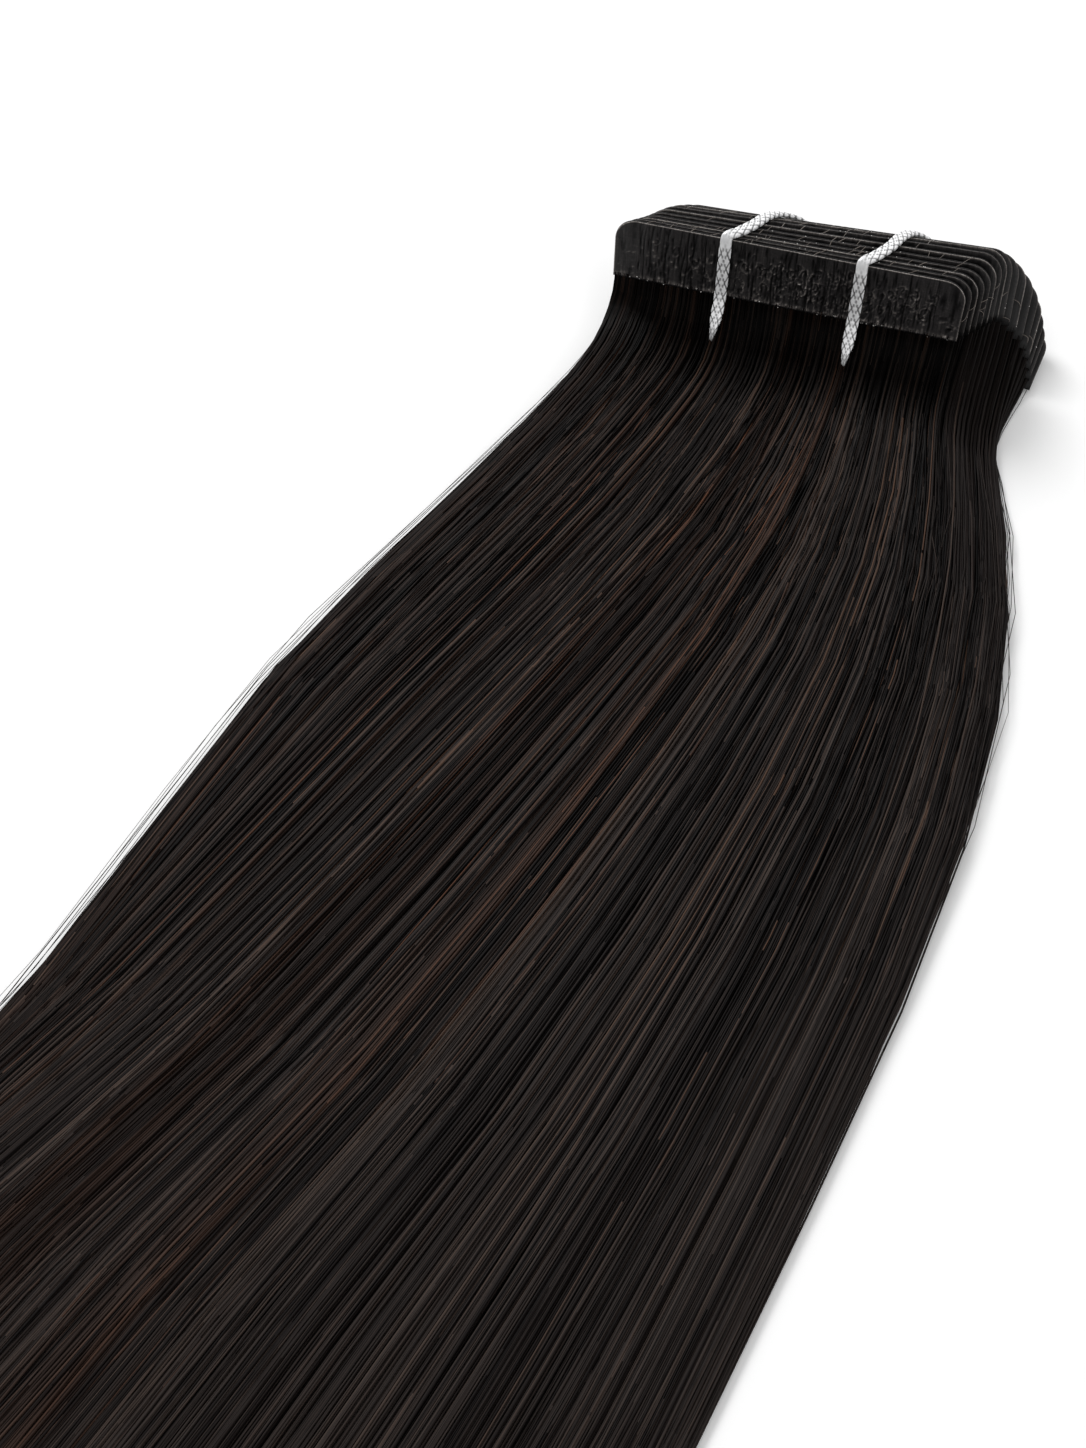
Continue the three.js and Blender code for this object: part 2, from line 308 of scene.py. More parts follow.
class Nodes:
    """Short way to write a material's node tree."""

    def __init__(self, name):
        self.material = bpy.data.materials.new(name)
        self.material.use_nodes = True
        self.tree = self.material.node_tree
        self.shader = self.tree.nodes["Principled BSDF"]

    def add(self, kind, inputs=(), **settings):
        node = self.tree.nodes.new(kind)
        for key, value in settings.items():
            setattr(node, key, value)
        for key, value in dict(inputs).items():
            if isinstance(value, bpy.types.NodeSocket):
                self.tree.links.new(value, node.inputs[key])
            else:
                node.inputs[key].default_value = value
        return node

    def ramp(self, factor, stops):
        node = self.add("ShaderNodeValToRGB", {"Fac": factor})
        elements = node.color_ramp.elements
        while len(elements) < len(stops):
            elements.new(0.5)
        for element, (place, colour) in zip(elements, stops):
            element.position = place
            element.color = (*colour, 1)
        return node.outputs["Color"]

    def math(self, operation, a, b):
        return self.add("ShaderNodeMath", {0: a, 1: b}, operation=operation).outputs[0]

    def multiply(self, a, b):
        inputs = {MIX_FACTOR: 1.0, MIX_A: a, MIX_B: b}
        node = self.add("ShaderNodeMix", inputs, data_type="RGBA", blend_type="MULTIPLY")
        return node.outputs[MIX_RESULT]

    def attribute(self, name, output="Fac"):
        return self.add("ShaderNodeAttribute", attribute_name=name).outputs[output]

    def place(self):
        return self.add("ShaderNodeTexCoord").outputs["Object"]

    def scaled(self, vector, scale):
        return self.add("ShaderNodeMapping", {"Vector": vector, "Scale": scale}).outputs["Vector"]

    def noise(self, vector, scale=1.0, detail=2.0, rough=0.5):
        inputs = {"Vector": vector, "Scale": scale, "Detail": detail, "Roughness": rough}
        return self.add("ShaderNodeTexNoise", inputs).outputs["Fac"]

    def bump(self, height, strength, distance):
        inputs = {"Height": height, "Strength": strength, "Distance": distance}
        return self.add("ShaderNodeBump", inputs).outputs["Normal"]

    def link(self, socket, value):
        self.tree.links.new(value, self.shader.inputs[socket])

    def put(self, **values):
        """Set plain values of the shader, with _ for each space in a socket's name."""
        for key, value in values.items():
            self.shader.inputs[key.replace("_", " ")].default_value = value


# Colours of a strand by its tone, its factors by its painted root shadow and by warmth, and how much its tone
# wanders along it.
STRAND_COLOURS = (
    (0.0, (0.0012, 0.0010, 0.0011)),
    (0.35, (0.0080, 0.0066, 0.0065)),
    (0.65, (0.0290, 0.0235, 0.0215)),
    (0.85, (0.0520, 0.0390, 0.0330)),
    (1.0, (0.0740, 0.0450, 0.0320)),
)
PAINTED_SHADOW_FACTORS = ((0.0, (0.22, 0.22, 0.22)), (1.0, (1, 1, 1)))
WARM_FACTORS = ((0.0, (1, 1, 1)), (1.0, (1.24, 0.86, 0.69)))
TONE_WANDER = 0.1

# Far from the tabs the tones draw together. Places are along Y, in metres.
FAR_TONE = 0.62
TONE_CONTRAST = {"From Min": -0.14, "From Max": -0.07, "To Min": 0.40, "To Max": 1.0}

CORE_COLOURS = ((0.3, (0.0015, 0.0012, 0.0011)), (0.7, (0.005, 0.0038, 0.0033)))
# Colours of the tape films by shade, which carries painted shade and painted highlights.
TAPE_COLOURS = (
    (0.0, (0.0010, 0.0009, 0.0009)),
    (0.30, (0.0095, 0.0088, 0.0090)),
    (0.50, (0.0260, 0.0240, 0.0240)),
    (0.75, (0.1000, 0.0900, 0.0840)),
    (1.0, (0.3600, 0.3300, 0.3100)),
)
FINE_SHADE = 0.5
GRAIN_SHADE = 0.4
MEAN_SHADE = 0.45
# Colours of the braid by its shade, which carries painted shade in its lines and painted shadow in the hair.
SILVER_COLOURS = ((0.0, (0.01, 0.01, 0.01)), (1.0, (0.95, 0.95, 0.96)))
THREAD_COLOUR = (0.12, 0.10, 0.085)
THREAD_ROUGHNESS = 0.4
SPECK_COLOUR = (0.62, 0.60, 0.58)
SPECK_ROUGHNESS = 0.3


def strand_material():
    """Single strands: off-black to brown by each strand's own tone, with a satin gloss."""
    n = Nodes("hair_strand")
    wander = n.noise(n.scaled(n.place(), (60, 60, 60)), scale=6.0)
    along = n.add("ShaderNodeSeparateXYZ", {"Vector": n.place()}).outputs["Y"]
    contrast = n.add("ShaderNodeMapRange", {"Value": along, **TONE_CONTRAST}).outputs["Result"]
    own = n.math("MULTIPLY", n.math("SUBTRACT", n.attribute("tone"), FAR_TONE), contrast)
    tone = n.math("ADD", own, n.math("MULTIPLY", n.math("SUBTRACT", wander, 0.5), TONE_WANDER))
    colour = n.ramp(n.math("ADD", tone, FAR_TONE), STRAND_COLOURS)
    tinted = n.multiply(colour, n.ramp(n.attribute("warm"), WARM_FACTORS))
    # Painted shadow at the strand roots darkens the colour.
    n.link("Base Color", n.multiply(tinted, n.ramp(n.attribute("shade"), PAINTED_SHADOW_FACTORS)))
    n.put(Roughness=0.42, Specular_IOR_Level=0.03)
    return n.material


def core_material():
    """The dark mass of hair under the strands, with fine streaks along the flow."""
    n = Nodes("hair_core")
    streak = n.noise(n.scaled(n.place(), (4000, 60, 4000)), detail=3.0)
    n.link("Base Color", n.ramp(streak, CORE_COLOURS))
    n.link("Normal", n.bump(streak, strength=0.6, distance=0.0002))
    n.put(Roughness=0.5, Specular_IOR_Level=0.1)
    return n.material


def tape_material():
    """Charcoal film over hair: black with painted shade in its grooves and between the tabs, paler with
    painted highlights on its pressed marks and cut edges.
    """
    n = Nodes("tape_film")
    place = n.attribute("card_place", "Vector")
    fine = n.noise(n.scaled(place, (4.5, 0.35, 1.0)), detail=3.0, rough=0.6)
    grain = n.noise(place, scale=3.5, detail=3.0, rough=0.7)
    rough = n.math("ADD", n.math("MULTIPLY", fine, FINE_SHADE), n.math("MULTIPLY", grain, GRAIN_SHADE))
    shade = n.math("ADD", n.attribute("shade"), n.math("SUBTRACT", rough, MEAN_SHADE))
    n.link("Base Color", n.ramp(shade, TAPE_COLOURS))
    n.link("Normal", n.bump(fine, strength=0.55, distance=0.00006))
    n.put(Roughness=0.4, Specular_IOR_Level=0.2)
    return n.material


def silver_material():
    """Bright metallised braid, with painted shade in its lines and painted shadow where it goes into the
    hair.
    """
    n = Nodes("silver_braid")
    n.link("Base Color", n.ramp(n.attribute("shade"), SILVER_COLOURS))
    n.put(Metallic=0.2, Roughness=0.3)
    return n.material


def plain(name, colour, rough):
    n = Nodes(name)
    n.put(Base_Color=(*colour, 1), Roughness=rough)
    return n.material


# Relief of a tab's films, in millimetres. A pair is a range of chance.
GROOVES = {
    "least gap": 0.14,
    "mean gap": 0.26,
    "depth": (0.02, 0.08),
    "width": (0.05, 0.12),
    "ends": (-5, 13),
    "fade": 1.2,
    "lean": 0.03,
    "wave": 0.07,
    "wave turn": 1.1,
}
DENTS = {
    "count": 300,
    "x": (-19.5, 19.5),
    "y": (0.8, 7.4),
    "width": (0.06, 0.11),
    "height": (0.25, 0.8),
    "depth": (0.03, 0.08),
}
LOOPS = {
    "count": 230,
    "x middle": 4,
    "x spread": 9,
    "y": (0.7, 6.0),
    "width": (0.28, 0.6),
    "height": (0.35, 1.0),
    "turn": 0.5,
    "closed": 0.9,
    "opening": 1.5,
    "line": 0.065,
    "furrow": 0.08,
    "furrow inset": 0.15,
    "furrow share": 0.9,
    "relief": (0.02, 0.06),
    "limits": (-0.09, 0.1),
}
DOTS = {
    "rows": 6,
    "columns": 48,
    "first": (-19.2, 0.8),
    "pitch": (0.75, 0.95),
    "scatter": (0.12, 0.14),
    "gaps": 0.3,
    "gaps per column": 0.013,
    "radius": (0.1, 0.17),
    "squash": 0.9,
    "relief": (0.02, 0.06),
}
PHASE = (0, 6)


def groove_field(rng, x, y):
    """Grooves between the glued hairs, as a height over the face of a tab."""
    height = np.zeros_like(x)
    place = -TAB_WIDTH / 2
    while place < TAB_WIDTH / 2:
        place += GROOVES["least gap"] + rng.exponential(GROOVES["mean gap"])
        depth = rng.uniform(*GROOVES["depth"])
        width = rng.uniform(*GROOVES["width"])
        low, high = np.sort(rng.uniform(*GROOVES["ends"], 2))
        lean = rng.normal(0, GROOVES["lean"])
        wave = GROOVES["wave"] * np.sin(GROOVES["wave turn"] * y + rng.uniform(*PHASE))
        line = place + lean * (y - TAB_HEIGHT / 2) + wave
        ends = rise(y, low, GROOVES["fade"]) * rise(-y, -high, GROOVES["fade"])
        height -= depth * ends * bell(x - line, width)
    return height


def dent_field(rng, x, y):
    """Short upright dents between the hairs under the front film."""
    height = np.zeros_like(x)
    for _ in range(DENTS["count"]):
        centre_x = rng.uniform(*DENTS["x"])
        centre_y = rng.uniform(*DENTS["y"])
        width = rng.uniform(*DENTS["width"])
        high = rng.uniform(*DENTS["height"])
        height -= rng.uniform(*DENTS["depth"]) * bell(x - centre_x, width) * bell(y - centre_y, high)
    return height


def loop_field(rng, x, y):
    """Small loops and bends pressed into the front film: raised lines, each with a furrow inside it."""
    height = np.zeros_like(x)
    for _ in range(LOOPS["count"]):
        centre_x = rng.normal(LOOPS["x middle"], LOOPS["x spread"])
        centre_y = rng.uniform(*LOOPS["y"])
        width = rng.uniform(*LOOPS["width"])
        high = rng.uniform(*LOOPS["height"])
        turn = rng.normal(0, LOOPS["turn"])
        dx = (x - centre_x) * math.cos(turn) + (y - centre_y) * math.sin(turn)
        dy = (y - centre_y) * math.cos(turn) - (x - centre_x) * math.sin(turn)
        off = (np.hypot(dx / width, dy / high) - 1) * min(width, high)
        opening = np.sin(np.arctan2(dy, dx) + rng.uniform(*PHASE))
        part = smooth(LOOPS["closed"] + LOOPS["opening"] * opening)
        furrow = LOOPS["furrow share"] * bell(off + LOOPS["furrow inset"], LOOPS["furrow"])
        height += rng.uniform(*LOOPS["relief"]) * part * (bell(off, LOOPS["line"]) - furrow)
    return np.clip(height, *LOOPS["limits"])


def dot_field(rng, x, y):
    """Rows of small raised dots, clearest at the left end of the front film."""
    height = np.zeros_like(x)
    for row in range(DOTS["rows"]):
        for column in range(DOTS["columns"]):
            centre = np.array(DOTS["first"]) + np.array(DOTS["pitch"]) * (column, row)
            centre_x, centre_y = centre + rng.normal(0, DOTS["scatter"])
            if rng.random() < DOTS["gaps"] + DOTS["gaps per column"] * column:
                continue
            radius = rng.uniform(*DOTS["radius"])
            dot = bell(x - centre_x, radius) * bell(y - centre_y, DOTS["squash"] * radius)
            height += rng.uniform(*DOTS["relief"]) * dot
    return height


# Grids of the tabs' films: columns along the straight top and rows. Only the front tab shows its face.
FRONT_GRID = (340, 60)
REAR_GRID = (66, 12)
CORNER_COLUMNS = 13
ROW_CROWDING = 0.9

# Shade of the films, from 0 (black) to 1 (pale): their plain face, and painted light and shade by relief and
# slope.
FILM_SHADE = 0.45
GROOVE_PAINTED_SHADE = 6.5
LOOP_PAINTED_LIGHT = 5.0
DOT_PAINTED_HIGHLIGHT = 8.0
SLOPE_PAINTED_LIGHT = 0.14
SLOPE_LIGHT = (0.5, -0.8)
SLOPE_LIMIT = 1.2
BACK_SHADE = 0.30
BACK_GROOVE_PAINTED_SHADE = 4.0
BACK_EDGE_SHADE = 0.25

# Pale fibres at the lower edge.
FRAY_HEIGHT = 0.3
FRAY_REACH = 0.36
FRONT_FRAY = 0.42
REAR_FRAY = 0.1

# Behind the front tab a film has painted shade beyond its edge, for the narrow gaps between the tabs.
INNER_PAINTED_SHADE = 0.75
INNER_START = 0.2
INNER_FADE = 0.45

# Painted highlights on the cut edges. Tabs are counted from 0 at the front, and some have their painted
# highlight along their whole width.
BRIGHT_EDGES = (0, 2, 5, 7, 10, 13)
BRIGHT_SHINE = 1.0
DULL_SHINE = 0.7
END_SHINE = 0.75
END_REACH = 3.5
END_FADE = 1.5
EDGE_SHADE = 0.12
EDGE_GAIN = 0.78
EDGE_WIDTH = 0.16
EDGE_VARIATION = (0.75, 1.0)
EDGE_FOOT = 0.8

# Section of a tab's rim from its front face to its back: two films with the hair set back between them. The
# last column is the painted highlight on each ring.
RIM = (
    ("depth", "inset", "paler"),
    (
        (0.07, 0.00, 0.88),
        (0.09, 0.16, 0.00),
        (0.21, 0.16, 0.00),
        (0.23, 0.00, 0.15),
    ),
)


def tab_top(x):
    """Height of a tab's top edge, with its two round corners."""
    into = np.maximum(np.abs(x) - (TAB_WIDTH / 2 - TAB_CORNER_RADIUS), 0)
    return TAB_HEIGHT - TAB_CORNER_RADIUS + np.sqrt(np.maximum(TAB_CORNER_RADIUS ** 2 - into ** 2, 0))


def edge_distance(x, y):
    """Distance from a place on a tab's face to its top and side edges."""
    over_x = np.abs(x) - (TAB_WIDTH / 2 - TAB_CORNER_RADIUS)
    over_y = y - (TAB_HEIGHT - TAB_CORNER_RADIUS)
    corner = np.hypot(np.maximum(over_x, 0), np.maximum(over_y, 0))
    return TAB_CORNER_RADIUS - np.maximum(corner, np.maximum(over_x, over_y))


def edge_light(x, shine):
    """Painted highlight on a tab's cut edge at places along it. Its two ends get some painted highlight in
    any case.
    """
    return np.maximum(END_SHINE * rise(np.abs(x), TAB_WIDTH / 2 - END_REACH, END_FADE), shine)


def film_grid(columns, rows):
    """Places on a tab's face: columns close together around its corners, and rows close to its top."""
    straight = TAB_WIDTH / 2 - TAB_CORNER_RADIUS
    arc = straight + TAB_CORNER_RADIUS * np.sin(np.linspace(0, math.pi / 2, CORNER_COLUMNS))
    across = np.concatenate([-arc[::-1], np.linspace(-straight, straight, columns)[1:-1], arc])
    share = np.sin(np.linspace(0, math.pi / 2, rows)) ** ROW_CROWDING
    return np.repeat(across[:, None], rows, 1), tab_top(across)[:, None] * share


def border_loop(columns, rows):
    """Indices around the border of a grid of points, counter-clockwise from the lower left."""
    index = np.arange(columns * rows).reshape(columns, rows)
    return np.concatenate([index[:-1, 0], index[-1, :-1], index[:0:-1, -1], index[0, :0:-1]])


def front_film(rng, x, y, marked, shine):
    """Height and shade of a tab's front film, with painted light and shade on its relief and edges. Only a
    marked film has dents, loops and dots.
    """
    # Grooves and dents take painted shade, loops painted highlights on their lines and painted shade in their
    # furrows, and dots painted highlights.
    fields = [(groove_field, GROOVE_PAINTED_SHADE)]
    if marked:
        fields += [(dent_field, GROOVE_PAINTED_SHADE), (loop_field, LOOP_PAINTED_LIGHT), (dot_field, DOT_PAINTED_HIGHLIGHT)]
    height = np.zeros_like(x)
    shade = np.full_like(x, FILM_SHADE)
    for field, strength in fields:
        relief = field(rng, x, y)
        height += relief
        shade += strength * relief
    # Painted light and shade by the slope of the relief, as if lit from the upper left.
    slope_x = np.gradient(height, axis=0) / np.gradient(x, axis=0)
    slope_y = np.gradient(height, axis=1) / np.gradient(y, axis=1)
    lit = SLOPE_LIGHT[0] * slope_x + SLOPE_LIGHT[1] * slope_y
    shade += SLOPE_PAINTED_LIGHT * np.clip(lit, -SLOPE_LIMIT, SLOPE_LIMIT)
    fray = bell(y - FRAY_HEIGHT, FRAY_REACH) * rng.uniform(0, 1, (len(x), 1))
    shade += (FRONT_FRAY if marked else REAR_FRAY) * fray
    from_edge = edge_distance(x, y)
    # Behind the front tab, painted shade away from the edge for the narrow gaps between the tabs.
    if not marked:
        shade *= 1 - INNER_PAINTED_SHADE * rise(from_edge, INNER_START, INNER_FADE)
    # Painted highlight along the cut edges.
    edge = (EDGE_SHADE + EDGE_GAIN * edge_light(x, shine)) * bell(from_edge, EDGE_WIDTH)
    return height, np.maximum(shade, edge)


def tab_rim(rng, edge, shine):
    """Points and shades of the rings of a tab's rim, along the places of its edge. The shades carry the
    painted highlight of the cut edge.
    """
    ahead = np.roll(edge, -1, 0) - np.roll(edge, 1, 0)
    inward = unit(np.stack([-ahead[:, 1], ahead[:, 0]], -1))
    light = edge_light(edge[:, 0], shine) * rise(edge[:, 1], 0, EDGE_FOOT)
    points = []
    shades = []
    for depth, inset, paler in RIM[1]:
        points.append(np.column_stack([edge + inward * inset, np.full(len(edge), -depth)]))
        shades.append(EDGE_SHADE + paler * light * rng.uniform(*EDGE_VARIATION, len(edge)))
    return points, shades


def tab_piece(name, card, material, rng, marked, shine):
    """One tab: a grid for each film, joined by a rim that shows the hair between the films."""
    x, y = film_grid(*(FRONT_GRID if marked else REAR_GRID))
    front, front_shade = front_film(rng, x, y, marked, shine)
    back = groove_field(rng, x, y)
    border = border_loop(*x.shape)
    inner = np.ones(x.size, bool)
    inner[border] = False
    inner = inner.reshape(x.shape)
    # Painted shade in the back film's grooves.
    back_shade = np.where(inner, BACK_SHADE + BACK_GROOVE_PAINTED_SHADE * back, BACK_EDGE_SHADE)
    films = [np.stack([x, y, front * inner], -1), np.stack([x, y, -TAB_THICKNESS - back * inner], -1)]
    rim_points, rim_shades = tab_rim(rng, np.stack([x.ravel()[border], y.ravel()[border]], -1), shine)
    # The front film's border takes the painted edge highlight of the rim's first ring.
    front_shade.flat[border] = rim_shades[0]
    points = np.concatenate([*(film.reshape(-1, 3) for film in films), *rim_points])
    index = np.arange(x.size).reshape(x.shape)
    cells = np.stack([index[:-1, :-1], index[1:, :-1], index[1:, 1:], index[:-1, 1:]], -1).reshape(-1, 4)
    rim_index = 2 * x.size + np.arange(len(RIM[1]) * len(border)).reshape(len(RIM[1]), -1)
    rings = [border, *rim_index, border + x.size]
    quads = [cells, cells[:, ::-1] + x.size]
    for ring, following in zip(rings[:-1], rings[1:]):
        quads.append(np.stack([ring, following, np.roll(following, -1), np.roll(ring, -1)], -1))
    piece = mesh_piece(name, card.at(*points.T), material, np.concatenate(quads))
    point_value(piece, "shade", np.concatenate([front_shade.ravel(), back_shade.ravel(), *rim_shades]))
    place = piece.data.attributes.new("card_place", "FLOAT_VECTOR", "POINT")
    place.data.foreach_set("vector", points.astype(np.float32).ravel())
    return piece


def make_tabs(cards, material):
    rng = chance("tabs")
    for number, (name, card) in enumerate(zip(TAB_NAMES, cards)):
        shine = BRIGHT_SHINE if number in BRIGHT_EDGES else DULL_SHINE
        piece = tab_piece(f"film_{name}", card, material, rng, number == 0, shine)
        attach(piece, "root")
        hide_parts(name)


# Ties: where they cross the tabs, and their section.
TIE_PLACES = {"tie_left": -7.2, "tie_right": 8.2}
TIE_THICKNESS = 0.5
TIE_CLEARANCE = 0.3
TIE_LOWEST = 0.34
TIE_FACE_HEIGHTS = (0.5, 4.0, 7.4)
TIE_REAR_BULGE = 0.1
CURVE_STEPS = 40

# How far a tie arches over the tops of the tabs, front to back.
TIE_ARCH = (
    ("card", "over"),
    (
        (1, 0.24),
        (4, 0.36),
        (7, 0.36),
        (17, 0.36),
    ),
)

# Where a tie goes under the last tab, forward through the hair and up to the front tab. The share is how far
# it still stands to the right, towards its place on the last tab.
TIE_DIVE = (
    ("run", "share", "lift"),
    (
        (0.0, 0.5, TIE_LOWEST),
        (3.4, 0.15, 0.6),
        (4.9, 0.0, 2.0),
        (4.7, 0.0, 3.9),
        (3.2, 0.0, 5.3),
        (1.4, 0.0, 6.7),
    ),
)

# The braid of a tie: the size of its diamonds, its flat section and the lines between the diamonds.
DIAMOND_WIDTH = 0.70
DIAMOND_LENGTH = 1.7
DIAMOND_RELIEF = 0.08
DIAMOND_BULGE = 0.07
LINE_HALF = 0.05
LINE_FADE = 0.11
BRAID_HALF_WIDTH = 0.66
BRAID_HALF_THICK = 0.17
BRAID_ROUNDING = 0.7
BRAID_STEPS = 18
BRAID_SIDES = 36

# Over the tops the braid is tighter and thicker, at the front bend it is plain, and in the hair it is narrow.
TOP_CROWDING = 0.7
TOP_THICKENING = 0.6
BEND_REACH = 0.9
PINCH = 0.62
PINCH_RISE = (1.6, 2.6)

# Shade of the braid: painted shade in its lines, its bright diamonds and its plain bend, and the painted
# shadow where it goes into the hair.
LINE_PAINTED_SHADE = 0.14
DIAMOND_SHADE = 0.86
BEND_SHADE = 0.4
DIVE_PAINTED_SHADOW = 0.85
DIVE_RISE = (2.6, 1.8)


def tie_route(cards, place):
    """Points of a tie's closed loop, from the foot of the front tab over the tops to the back and under."""
    stand = TIE_CLEARANCE + TIE_THICKNESS / 2
    front = cards[0]
    rear = cards[-1]
    _, middle, top = TIE_FACE_HEIGHTS
    points = [front.at(place, height, stand) for height in TIE_FACE_HEIGHTS]
    over = table_value(TIE_ARCH, "over", np.arange(1, TAB_COUNT + 1))
    every_second = list(zip(cards, TAB_HEIGHT + over))[::2]
    points += [card.at(place, height, -TAB_THICKNESS / 2) for card, height in every_second]
    points.append(rear.at(place, top, -TAB_THICKNESS - stand - TIE_REAR_BULGE))
    points.append(rear.at(place, middle, -TAB_THICKNESS - stand))
    under = rear.at(place, 0, 0)
    points.append(np.array((under[0], under[1], TIE_LOWEST)))
    for run, share, lift in TIE_DIVE[1]:
        points.append(np.array((place + (under[0] - place) * share, -run, lift)))
    return np.array(points)


def closed_curve(points):
    """Dense points on a smooth closed curve through the given ones, and the length up to each of them."""
    before = np.roll(points, 1, 0)
    after = np.roll(points, -1, 0)
    second = np.roll(points, -2, 0)
    gap = np.sqrt(np.linalg.norm(after - points, axis=1))[:, None]
    gap_before = np.roll(gap, 1, 0)
    gap_after = np.roll(gap, -1, 0)
    leave = (points - before) / gap_before - (after - before) / (gap_before + gap) + (after - points) / gap
    arrive = (after - points) / gap - (second - points) / (gap + gap_after) + (second - after) / gap_after
    t = np.linspace(0, 1, CURVE_STEPS, endpoint=False)[None, :, None]
    straight = points[:, None] + (after - points)[:, None] * smooth(t)
    ease_out = (leave * gap)[:, None] * t * (1 - t) ** 2
    ease_in = (arrive * gap)[:, None] * t * t * (1 - t)
    dense = (straight + ease_out - ease_in).reshape(-1, 3)
    loop = np.concatenate([dense, dense[:1]])
    length = np.concatenate([[0], np.cumsum(np.linalg.norm(np.diff(loop, axis=0), axis=1))])
    return loop, length


def tie_piece(name, cards, place, material):
    """A flat braid along the tie's route: raised bright diamonds between crossing lines with painted shade,
    and painted shadow in the hair.
    """
    loop, length = closed_curve(tie_route(cards, place))
    diamonds = round(length[-1] / DIAMOND_LENGTH)
    steps = diamonds * BRAID_STEPS
    even = np.linspace(0, length[-1], steps, endpoint=False)
    route = np.stack([np.interp(even, length, axis) for axis in loop.T], -1)
    across, outward = (axis[0] for axis in tube_frames(route[None], closed=True))
    run = -route[:, 1:2]
    on_top = smooth(outward[:, 2:])
    crowding = 1 + TOP_CROWDING * on_top
    phase = diamonds * np.cumsum(crowding)[:, None] / crowding.sum()
    bend = cards[0].at(place, TAB_HEIGHT, TIE_CLEARANCE)
    plain_part = bell(np.linalg.norm(route - bend, axis=1, keepdims=True), BEND_REACH)
    pinch = 1 - PINCH * rise(run, *PINCH_RISE)
    angle = FULL_TURN * np.arange(BRAID_SIDES) / BRAID_SIDES
    wide = np.sign(np.cos(angle)) * np.abs(np.cos(angle)) ** BRAID_ROUNDING
    thick = np.sign(np.sin(angle)) * np.abs(np.sin(angle)) ** BRAID_ROUNDING
    sideways = BRAID_HALF_WIDTH * wide / DIAMOND_WIDTH
    to_lines = [0.5 - np.abs(p - np.round(p)) for p in (sideways + phase, sideways - phase)]
    diamond = rise(np.minimum(*to_lines), LINE_HALF, LINE_FADE) * (1 - plain_part)
    half_width = BRAID_HALF_WIDTH * pinch * (1 + DIAMOND_BULGE * diamond)
    half_thick = BRAID_HALF_THICK * (1 + TOP_THICKENING * on_top) + DIAMOND_RELIEF * diamond
    rings = route[:, None] + across[:, None] * (half_width * wide)[..., None]
    rings = rings + outward[:, None] * (half_thick * thick)[..., None]
    index = np.arange(steps * BRAID_SIDES).reshape(steps, BRAID_SIDES)
    following = np.roll(index, -1, axis=0)
    quads = np.stack([index, following, np.roll(following, -1, 1), np.roll(index, -1, 1)], -1)
    piece = mesh_piece(f"braid_{name}", rings.reshape(-1, 3), material, quads.reshape(-1, 4))
    # Painted shade in the lines between the diamonds, and painted shadow where the tie goes into the hair.
    shade = LINE_PAINTED_SHADE + DIAMOND_SHADE * diamond + BEND_SHADE * plain_part
    point_value(piece, "shade", shade * (1 - DIVE_PAINTED_SHADOW * rise(run, *DIVE_RISE)))
    return piece


def make_ties(cards, material):
    for name, place in TIE_PLACES.items():
        piece = tie_piece(name, cards, place, material)
        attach(piece, "root")
        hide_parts(name)


# Core of the sheaf: its stretch and grid, and its width and height as shares of the sheaf's.
CORE_START = -1.5
CORE_LENGTH = 369
CORE_STEPS = 70
CORE_CROWDING = 1.4
CORE_UNDER_POINTS = 13
CORE_OVER_POINTS = 41
CORE_FLOOR = 0.12
CORE_ROOT_WIDTH = 0.82
CORE_WIDENING = 0.11
CORE_WIDENING_RISE = (0, 60)
CORE_NARROWING = 0.2
CORE_NARROWING_RISE = (300, 66)
CORE_HEIGHT = 0.66
CORE_THINNING = 0.45
CORE_THINNING_RISE = (290, 76)


def hair_core(material):
    """Closed inner body of the sheaf, a little inside its outer form."""
    run = (CORE_START + CORE_LENGTH * np.linspace(0, 1, CORE_STEPS) ** CORE_CROWDING)[:, None]
    under = np.linspace(-1, 1, CORE_UNDER_POINTS)
    over = np.cos(np.linspace(0, math.pi, CORE_OVER_POINTS))
    u = np.concatenate([under, over])
    is_over = np.arange(len(u)) >= len(under)
    width = CORE_ROOT_WIDTH + CORE_WIDENING * rise(run, *CORE_WIDENING_RISE)
    width = width - CORE_NARROWING * rise(run, *CORE_NARROWING_RISE)
    height = CORE_HEIGHT - CORE_THINNING * rise(run, *CORE_THINNING_RISE)
    x = sheaf_middle(run) + sheaf_half(run) * u * width
    y = np.broadcast_to(-run, x.shape)
    z = CORE_FLOOR + is_over * height * sheaf_top(run, u)
    index = np.arange(x.size).reshape(x.shape)
    after = np.roll(index, -1, axis=1)
    quads = np.stack([index[:-1], after[:-1], after[1:], index[1:]], -1).reshape(-1, 4)
    corners = range(1, len(u) - 1)
    caps = [index[0, (k + 1, k, 0)] for k in corners] + [index[-1, (0, k, k + 1)] for k in corners]
    points = np.stack([x, y, z], -1).reshape(-1, 3)
    return mesh_piece("hair_core", points, material, quads, np.array(caps))


# Roots: strands leave a tab along its lower edge and bend into the sheaf, between two limits of u.
ROOT_REACH = TAB_WIDTH / 2 - 0.25
ROOT_BURIED = 0.5
ROOT_BELOW = 0.15
ROOT_SCATTER = 0.08
ROOT_RUN = 10.0
ROOT_LIMITS = (-0.82, 0.925)
ROOT_STEPS = 5
LEAVE_LENGTH = 3.36
ARRIVE_LENGTH = 3.92

